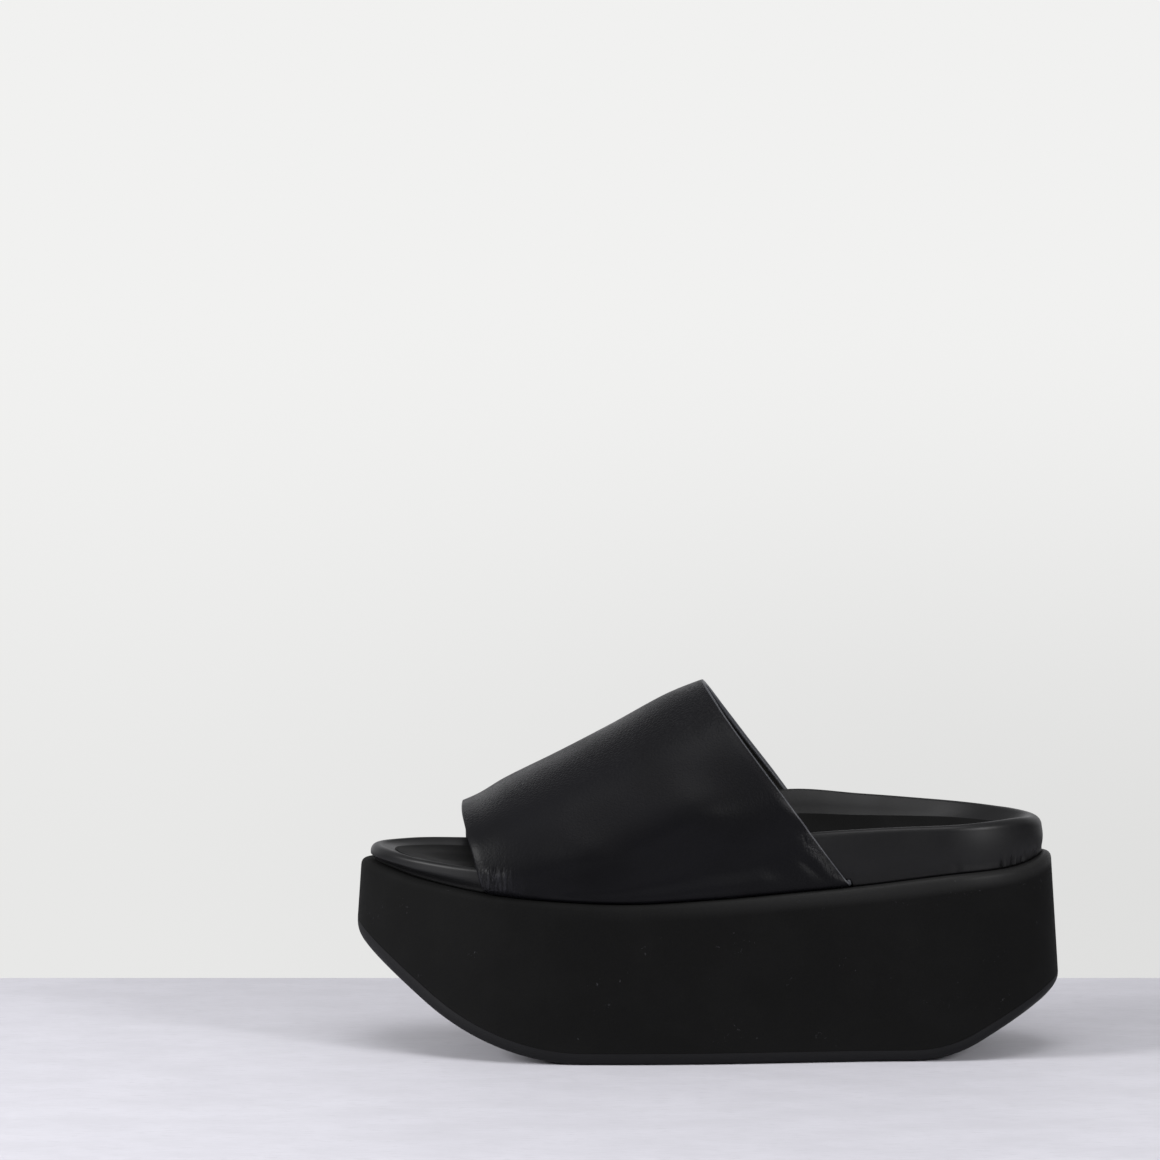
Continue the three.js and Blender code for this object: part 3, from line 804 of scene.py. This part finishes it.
def under_vamp(last, st, soft=6):
    """1 where the vamp covers the footbed's wall and 0 clear of it, with soft millimetres in between."""
    start = last.toe_x + VAMP_FRONT + VAMP_HIDES_FROM
    end = last.toe_x + VAMP_REAR + VAMP_HIDES_TO
    return smooth_step(start, start + soft, st["x"]) * (1 - smooth_step(end - soft, end, st["x"]))


def pleated(st, height):
    """How far the footbed's wall stands in or out at this height above its foot."""
    arc = np.concatenate([[0], np.cumsum(np.hypot(np.diff(st["x"]), np.diff(st["y"])))])
    moved = np.zeros(len(arc))
    for side, pleat in sided(FOOTBED_PLEATS):
        same_side = st["outer"] == (side == "outer")
        i = np.argmin(np.abs(st["at"] - pleat["at"]) + np.where(same_side, 0, 1))
        deep = pleat["rise"] * (1 - smooth_step(PLEAT_FULL * pleat["reach"], pleat["reach"], height))
        moved += deep * bell(arc - arc[i], pleat["width"])
        moved -= PLEAT_SWELL * deep * bell(arc - arc[i] - PLEAT_SWELL_OFF * pleat["width"], pleat["width"])
    return moved


def make_footbed(last, colours):
    """The leather-covered cup: a dished top, a soft rim, and a wall that is tucked in under its foot."""
    st = last.outline_points(HALF_RING)
    base = last.deck(st["x"]) + SEAM_GAP
    rings = [cup_ring(last, st, share) for share in np.linspace(0, 1, CUP_RINGS + 1)[:-1]]
    for degrees in np.linspace(CUP_MEETS_RIM, 0, RIM_RINGS):
        turn = math.radians(degrees)
        grow = st["rim_round"] * (math.cos(turn) - 1)
        rings.append(ring(st, grow, st["rim"] + st["rim_round"] * (math.sin(turn) - 1)))
    top = st["rim"] - st["rim_round"]
    hidden = under_vamp(last, st, soft=4)
    bulge = WALL_BULGE * (1 - under_vamp(last, st)) * smooth_step(*BULGE_STARTS, st["at"])
    bulge -= WALL_HOLLOW * hidden
    undercut = TOE_UNDERCUT * (1 - smooth_step(*UNDERCUT_ENDS, st["at"])) * (1 - hidden)
    margin = {"side": "outer", "zone": "margin", "t": 0.0}
    front, rear = vamp_edge_x(last, "front", margin), vamp_edge_x(last, "rear", margin)
    covered = (st["x"] > front + GAP) & (st["x"] < rear - GAP)
    rebate = np.where(covered, last.upper_wall + GAP, 0)
    foot = base + FOOTBED_TUCK + rebate
    for share in np.linspace(0, 1, FOOTBED_WALL_RINGS + 1)[1:]:
        z = lerp(top, foot, share)
        drawn_in = undercut * float(smooth_step(*DRAWN_IN, share))
        bulged = bulge * math.sin(math.pi * min(share * BULGE_SITS_HIGH, 1))
        rings.append(ring(st, bulged + pleated(st, z - foot) - drawn_in, z))
    tuck = bend(0, 0, -FOOTBED_TUCK, TUCK_STEPS)
    for grow, z in zip(tuck, bend(foot, base + rebate, base + rebate, TUCK_STEPS)):
        left = (grow + FOOTBED_TUCK) / FOOTBED_TUCK
        rings.append(ring(st, grow + pleated(st, 0) * left - undercut, z))
    inside = last.upper_wall - LASTING_MARGIN
    rings.append(ring(st, -FOOTBED_TUCK - undercut, base + rebate))
    rings.append(ring(st, inside, last.deck(st["x"] + st["nx"] * inside) + SEAM_GAP + rebate))
    rings.append(ring(st, inside - GAP, lambda x: last.deck(x) + SEAM_GAP))
    for share in FOOTBED_FOOT:
        rings.append(ring(st, inside - GAP, lambda x: last.deck(x) + SEAM_GAP, share))
    piece = ringed("footbed_leather", rings, [smooth_calf(colours)])
    return ride_and_replace(piece, "footbed")


def make_insole(last, colours):
    """The sock: a thin leather sheet that lies in the cup, with its edge pared down."""
    st = last.outline_points(HALF_RING)
    shares = np.linspace(0, SOCK_SHARE, SOCK_RINGS)
    left = 1 - smooth_step(SOCK_SHARE - SOCK_SKIVE, SOCK_SHARE, shares)
    rings = [cup_ring(last, st, share, GAP + SOCK_THICKNESS * t) for share, t in zip(shares, left)]
    rings += [cup_ring(last, st, share, GAP / 2) for share in shares[::-1]]
    piece = ringed("insole_sock", rings, [sock_leather(colours)])
    return ride_and_replace(piece, "insole")


def vamp_point(last, x, line):
    """The outside of the vamp where a line across it passes x: points with x, y and z."""
    side, zone, t = line["side"], line["zone"], line["t"]
    sign = SIGNS[side]
    turn = last.upper_wall + GAP
    wall_y = last.grown_edge_y(x, side, turn)
    angle = t * math.pi / 2
    foot = last.deck(x) + SEAM_GAP
    spring = last.rim(x, side)
    if zone == "margin":
        y, z = wall_y - sign * lerp(LASTING_MARGIN, turn, t), foot
    elif zone == "turn":
        y, z = wall_y - sign * turn * (1 - math.sin(angle)), foot + turn * (1 - math.cos(angle))
    elif zone == "wall":
        y, z = wall_y, lerp(foot + turn, spring, t)
    else:
        power = 2 / along(VAMP_SECTIONS, "fullness", last.share(x))
        ridge = vamp_ridge_y(last, x)
        y = lerp(ridge, wall_y, max(math.cos(angle), 0) ** power)
        z = lerp(spring, last.crest(x), math.sin(angle) ** power)
    return np.stack(np.broadcast_arrays(x, y, z), axis=-1)


def vamp_ridge_y(last, x):
    """Where the vamp's ridge lies across the foot."""
    return last.ball_width * along(VAMP_SECTIONS, "ridge", last.share(x)) + last.shift_y


def vamp_edge_x(last, end, line):
    """Where the vamp's front or rear edge crosses this line. Seen from the side both are straight."""
    start = last.toe_x + (VAMP_FRONT if end == "front" else VAMP_REAR)
    lean = FRONT_LEAN[line["side"]] if end == "front" else REAR_LEAN
    top = last.crest(np.array(start))
    x = np.array(float(start))
    for _ in range(SETTLING_ROUNDS):
        x = start + lean * (top - vamp_point(last, x, line)[..., 2])
    return float(x)


def vamp_lines():
    """The lines that run from front to rear, from the outer margin over the ridge to the inner one."""
    halves = {}
    for side in SIGNS:
        halves[side] = [
            {"side": side, "zone": zone, "t": i / steps}
            for zone, steps in VAMP_STEPS_ACROSS.items()
            for i in range(steps)
        ]
    return halves["outer"] + [{"side": "outer", "zone": "arch", "t": 1.0}] + halves["inner"][::-1]


def height_share(last, grid):
    """How high each point of the vamp is, from 0 at the seam to 1 at the ridge, and the height that 1 is."""
    seam, crest = last.deck(grid[:, :, 0]), last.crest(grid[:, :, 0])
    return (grid[:, :, 2] - seam) / (crest - seam), crest - seam


def folded(last, grid, shares, lines):
    """How far each point of the vamp stands out or in, from its folds and the roll of its cut edges."""
    rise = np.zeros(grid.shape[:2])
    up, height = height_share(last, grid)
    sides = np.array([line["side"] for line in lines])
    from_front_to_rear = VAMP_REAR - VAMP_FRONT
    for side, fold in sided(VAMP_FOLDS):
        px = (shares[:, None] - fold["along"][0]) * from_front_to_rear
        py = (up - fold["up"][0]) * height
        qx = (fold["along"][1] - fold["along"][0]) * from_front_to_rear
        qy = (fold["up"][1] - fold["up"][0]) * height
        t = np.clip((px * qx + py * qy) / (qx**2 + qy**2), 0, 1)
        shape = bell(np.hypot(px - t * qx, py - t * qy), fold["width"])
        rise += fold["rise"] * shape * (sides == side)[None, :]
    rise *= smooth_step(*FOLDS_START, up) * (1 - smooth_step(*FOLDS_END, up))
    rise = np.maximum(rise, -DEEPEST_FOLD)
    from_edge = np.minimum(grid[:, :, 0] - grid[0, :, 0], grid[-1, :, 0] - grid[:, :, 0])
    roll = EDGE_ROLL * (1 - smooth_step(*ROLL_ENDS, up))
    return rise - roll * np.clip(1 - from_edge / EDGE_ROLL_REACH, 0, 1) ** 2


def edge_rows(edge, before, normal, wall):
    """Rows round a cut edge, from the grain side to the inside: a flat cut with rounded corners."""
    out = edge - before
    out /= np.linalg.norm(out, axis=1, keepdims=True)
    rows = []
    for angle in np.linspace(0, math.pi, CUT_EDGE_STEPS + 2)[1:-1]:
        deep = np.sign(math.cos(angle)) * abs(math.cos(angle)) ** CUT_EDGE_SQUARENESS
        far = math.sin(angle) ** CUT_EDGE_SQUARENESS
        rows.append(edge - normal * wall * (1 - deep) / 2 + out * CUT_EDGE_ROUND * far)
    return rows


def make_upper(last, colours):
    """The vamp: one hide over the foot, grain side out, with cut edges and a suede inside."""
    lines = vamp_lines()
    even = np.linspace(0, 1, VAMP_STEPS_ALONG + 1)
    shares = (even + (1 - np.cos(np.pi * even)) / 2) / 2
    columns = []
    for line in lines:
        front, rear = vamp_edge_x(last, "front", line), vamp_edge_x(last, "rear", line)
        columns.append(vamp_point(last, lerp(front + CUT_EDGE_ROUND, rear - CUT_EDGE_ROUND, shares), line))
    outside = np.stack(columns, axis=1)
    up = height_share(last, outside)[0]
    grain = lerp(DRAWN_GRAIN, 1, smooth_step(*GRAIN_STARTS, up))
    low = smooth_step(*CREASES_START, up) * (1 - smooth_step(*CREASES_END, up))
    ends = 1 - smooth_step(*FRONT_CREASES, shares) + REAR_CREASE_DEPTH * smooth_step(*REAR_CREASES, shares)
    # Also where the crests of the creases are painted paler as a highlight.
    creased = low * ends[:, None]
    outside = outside + surface_normals(outside) * folded(last, outside, shares, lines)[:, :, None]
    normal = surface_normals(outside)
    inside = outside - normal * last.upper_wall
    rear = edge_rows(outside[-1], outside[-2], normal[-1], last.upper_wall)
    front = edge_rows(outside[0], outside[1], normal[0], last.upper_wall)
    loop = [*outside, *rear, *inside[::-1], *front[::-1]]
    steps, count = len(outside), len(lines)
    faces = grid_faces(len(loop) + 1, count)
    faces = [tuple(i % (len(loop) * count) for i in face) for face in faces]
    long, round_edge = steps - 1, CUT_EDGE_STEPS + 1
    kinds = [GRAIN] * long + [CUT] * round_edge + [SUEDE] * long + [GRAIN] * round_edge
    kinds = [kind for kind in kinds for _ in range(count - 1)]
    for column, turn in ((0, 1), (count - 1, -1)):
        ends = margin_end(steps, CUT_EDGE_STEPS)
        faces += [tuple(row * count + column for row in rows)[::turn] for rows in ends]
        kinds += [CUT] * len(ends)
    materials = [grained_calf(colours), suede_split(colours), cut_edge(colours)]
    piece = new_object("upper_vamp", np.concatenate(loop), faces, materials, face_materials=kinds)
    for name, share in (("grain", grain), ("creased", creased)):
        plain = np.zeros((CUT_EDGE_STEPS, count))
        mark_points(piece, name, np.concatenate([share, plain, share[::-1], plain]))
    return ride_and_replace(piece, "upper")


def margin_end(steps, edge_steps):
    """The faces that close one end of the loop of rows, each as a list of rows."""
    opposite = 2 * steps + edge_steps - 1
    ends = [(r, r + 1, opposite - r - 1, opposite - r) for r in range(steps - 1)]
    ends.append(tuple(range(steps - 1, steps + edge_steps + 1)))
    ends.append((*range(opposite, opposite + edge_steps + 1), 0))
    return ends


def surface_normals(grid):
    """Unit normals of a grid of points, out of the vamp."""
    normal = np.cross(np.gradient(grid, axis=0), np.gradient(grid, axis=1))
    return normal / np.linalg.norm(normal, axis=2, keepdims=True)


# Stage

# The camera stands where the photograph was taken from: low, far back and square to the shoe's outer side.
PHOTO_SIDE = 1160
CAMERA_PLACE = (-48.5, -2150, 335)
CAMERA_PITCH_DEGREES = 4.18
CAMERA_FOCAL_PIXELS = 5674
SENSOR_WIDTH = 36
FLOOR_FAR_EDGE = 177
FLOOR_NEAR_EDGE = -700
FLOOR_HALF_WIDTH = 1000

# Softboxes: each one's place, what it points at and its width are in metres, and its power in watts.
SOFTBOXES = table(
    "name place aim size power",
    ("Toe softbox", (-1.25, -0.45, 0.6), (-0.1, 0, 0.05), 0.5, 21.5),
    ("Heel softbox", (0.95, -0.95, 0.6), (0, 0, 0.07), 0.4, 12.5),
    ("Overhead softbox", (0.0, -0.45, 1.6), (0, 0, 0), 1.0, 10),
)


def make_camera():
    data = bpy.data.cameras.new("Camera")
    data.sensor_width = SENSOR_WIDTH
    data.lens = SENSOR_WIDTH * CAMERA_FOCAL_PIXELS / PHOTO_SIDE
    data.clip_end = 50
    camera = bpy.data.objects.new("Camera", data)
    camera.location = [v * MM for v in CAMERA_PLACE]
    camera.rotation_euler = (math.radians(90 - CAMERA_PITCH_DEGREES), 0, 0)
    bpy.context.scene.collection.objects.link(camera)
    bpy.context.scene.camera = camera


def make_floor(colours):
    """The pale board that the mule stands on. Behind it is only the pale backdrop."""
    x, near, far = FLOOR_HALF_WIDTH, FLOOR_NEAR_EDGE, FLOOR_FAR_EDGE
    points = np.array([(-x, near, 0), (x, near, 0), (x, far, 0), (-x, far, 0)], float)
    new_object("floor_board", points, [(0, 1, 2, 3)], [painted_board(colours)])


def area_light(name, place, aim, size, power):
    """A square softbox that gives white light."""
    data = bpy.data.lights.new(name, "AREA")
    data.shape = "SQUARE"
    data.size = size
    data.energy = power
    light = bpy.data.objects.new(name, data)
    light.location = place
    light.rotation_euler = (Vector(aim) - Vector(place)).to_track_quat("-Z", "Y").to_euler()
    bpy.context.scene.collection.objects.link(light)


def make_world(colours):
    """What the camera sees behind the board is a pale wall with painted shade: a little darker at its foot
    and to the right.

    The light is that of such a room: soft from the ceiling, bright from the wall behind the shoe and dim from
    the camera's side. Directions are X to the right, Y away from the camera and Z up.
    """
    world = bpy.data.worlds.new("Studio")
    world.use_nodes = True
    tree = world.node_tree
    tree.nodes.clear()
    direction = add(tree, "ShaderNodeTexCoord").outputs["Generated"]
    split = add(tree, "ShaderNodeSeparateXYZ", {0: direction}).outputs
    # Painted shade: the backdrop darkens towards its foot and to the right.
    right = mapped(tree, split["X"], -0.09, 0.07)
    foot = toned(tree, right, colours.backdrop_shaded_foot, 0.92)
    wall = mixed(tree, mapped(tree, split["Z"], -0.13, -0.02), foot, list(colours.backdrop))
    behind = mixed(tree, mapped(tree, split["Z"], -0.3, -0.2), list(colours.floor), wall)
    seen = add(tree, "ShaderNodeBackground", {"Color": behind, "Strength": 1.0})
    ceiling = mapped(tree, split["Z"], -0.1, 0.75, 0.02, 0.44)
    band = times(tree, mapped(tree, split["Z"], -0.2, 0.0), mapped(tree, split["Z"], 0.25, 0.5, 1.0, 0.0))
    wall_light = times(tree, mapped(tree, split["Y"], 0.5, 0.95, 0.0, 0.95), band)
    strength = add(tree, "ShaderNodeMath", {0: ceiling, 1: wall_light}, operation="MAXIMUM").outputs[0]
    light = add(tree, "ShaderNodeBackground", {"Color": (0.98, 0.98, 1.0, 1.0), "Strength": strength})
    ray = add(tree, "ShaderNodeLightPath").outputs["Is Camera Ray"]
    both = add(tree, "ShaderNodeMixShader", {0: ray, 1: light.outputs[0], 2: seen.outputs[0]})
    add(tree, "ShaderNodeOutputWorld", {"Surface": both.outputs[0]})
    bpy.context.scene.world = world


# Panel and operators


def size_of(name, description, millimetres):
    options = {"min": 0.0, "unit": "LENGTH", "precision": 4}
    return FloatProperty(name=name, description=description, default=millimetres * MM, **options)


def shade(name, description, srgb_hex):
    options = {"size": 4, "min": 0.0, "max": 1.0, "subtype": "COLOR"}
    return FloatVectorProperty(name=name, description=description, default=linear(srgb_hex), **options)


class MuleSizes(bpy.types.PropertyGroup):
    """The sizes that the pieces are worked out from. They start as the frame's own."""

    footbed_length: size_of("Footbed length", "From toe to heel, over the footbed's covered edge", 256)
    ball_width: size_of("Ball width", "The unit of the footbed's widths", 90)
    deck_low: size_of("Deck height", "Top of the platform where it is lowest", 59.6)
    deck_rise: size_of("Deck rise", "How much higher the platform's top is at the heel", 15.2)
    sole_ledge: size_of("Sole ledge", "How far the platform's top stands out past the footbed", 3.5)
    outsole_thickness: size_of("Outsole thickness", "Rubber and joint together", 4.5)
    outer_rim: size_of("Outer rim", "Highest point of the footbed's outer wall above the deck", 21.5)
    inner_rim: size_of("Inner rim", "Highest point of the footbed's inner wall above the deck", 31.5)
    upper_wall: size_of("Vamp thickness", "Thickness of the hide", 2.4)
    instep_height: size_of("Instep height", "Top of the vamp's rear edge above the lowest deck", 79.8)


class MuleColours(bpy.types.PropertyGroup):
    """The colours of the hides, foam, rubber and stage."""

    vamp: shade("Vamp", "Grain side of the vamp", "0c0c0e")
    lining: shade("Lining", "Sueded inside of the vamp", "1a1918")
    # Partly a painted highlight along the vamp's cut edge.
    cut_edge: shade("Cut edge", "Raw edge of the vamp", "303135")
    footbed: shade("Footbed", "Leather over the cup", "0e0e0f")
    sock: shade("Sock", "Leather in the cup", "0c0c0c")
    foam: shade("Foam", "Platform", "080808")
    nick: shade("Nick", "Worn flecks in the foam", "303032")
    rubber: shade("Rubber", "Outsole", "0a0a0c")
    floor: shade("Floor", "Painted board", "c1c0c7")
    backdrop: shade("Backdrop", "What the camera sees behind the floor", "f1f1f0")
    # Painted shade at the backdrop's foot.
    backdrop_shaded_foot: shade("Backdrop's foot", "The same, just above the floor", "e8e8e7")


class MuleOperator:
    """What the operators share: the last and the colours of the current scene."""

    bl_options = {"REGISTER", "UNDO"}

    def execute(self, context):
        made = self.make(Last(context.scene.mule_sizes), context.scene.mule_colours)
        if not made.data.polygons:
            raise RuntimeError(f"{self.bl_label} made no faces")
        return {"FINISHED"}


class MULE_OT_outsole(MuleOperator, bpy.types.Operator):
    """Make the grooved rubber outsole"""

    bl_idname = "mule.outsole"
    bl_label = "Outsole"
    make = staticmethod(make_outsole)


class MULE_OT_platform(MuleOperator, bpy.types.Operator):
    """Make the foam platform"""

    bl_idname = "mule.platform"
    bl_label = "Platform"
    make = staticmethod(make_platform)


class MULE_OT_footbed(MuleOperator, bpy.types.Operator):
    """Make the leather-covered footbed"""

    bl_idname = "mule.footbed"
    bl_label = "Footbed"
    make = staticmethod(make_footbed)


class MULE_OT_insole(MuleOperator, bpy.types.Operator):
    """Make the sock that lies in the footbed"""

    bl_idname = "mule.insole"
    bl_label = "Insole"
    make = staticmethod(make_insole)


class MULE_OT_upper(MuleOperator, bpy.types.Operator):
    """Make the vamp"""

    bl_idname = "mule.upper"
    bl_label = "Upper"
    make = staticmethod(make_upper)


class MULE_OT_stage(bpy.types.Operator):
    """Make the floor, the lights, the backdrop and the camera"""

    bl_idname = "mule.stage"
    bl_label = "Stage"
    bl_options = {"REGISTER", "UNDO"}

    def execute(self, context):
        colours = context.scene.mule_colours
        make_camera()
        make_floor(colours)
        make_world(colours)
        for softbox in SOFTBOXES:
            area_light(**softbox)
        return {"FINISHED"}


PIECE_OPERATORS = (MULE_OT_outsole, MULE_OT_platform, MULE_OT_footbed, MULE_OT_insole, MULE_OT_upper)


class MULE_PT_panel(bpy.types.Panel):
    """Sizes, colours and the buttons that make each piece"""

    bl_idname = "MULE_PT_panel"
    bl_label = "Platform Mule"
    bl_space_type = "VIEW_3D"
    bl_region_type = "UI"
    bl_category = "Mule"

    def draw(self, context):
        layout = self.layout
        for group in (context.scene.mule_sizes, context.scene.mule_colours):
            box = layout.box()
            for name in group.bl_rna.properties.keys():
                if name not in GROUP_OWN:
                    box.prop(group, name)
        for operator in (MULE_OT_stage, *PIECE_OPERATORS):
            layout.operator(operator.bl_idname)


CLASSES = (MuleSizes, MuleColours, MULE_OT_stage, *PIECE_OPERATORS, MULE_PT_panel)


def register():
    for cls in CLASSES:
        bpy.utils.register_class(cls)
    bpy.types.Scene.mule_sizes = PointerProperty(type=MuleSizes)
    bpy.types.Scene.mule_colours = PointerProperty(type=MuleColours)


def unregister():
    del bpy.types.Scene.mule_sizes
    del bpy.types.Scene.mule_colours
    for cls in reversed(CLASSES):
        bpy.utils.unregister_class(cls)


def main():
    register()
    bpy.context.scene.view_settings.view_transform = "Standard"
    bpy.ops.mule.stage()
    for operator in PIECE_OPERATORS:
        piece = operator.bl_idname.split(".")[1]
        getattr(bpy.ops.mule, piece)()


if __name__ == "__main__":
    main()
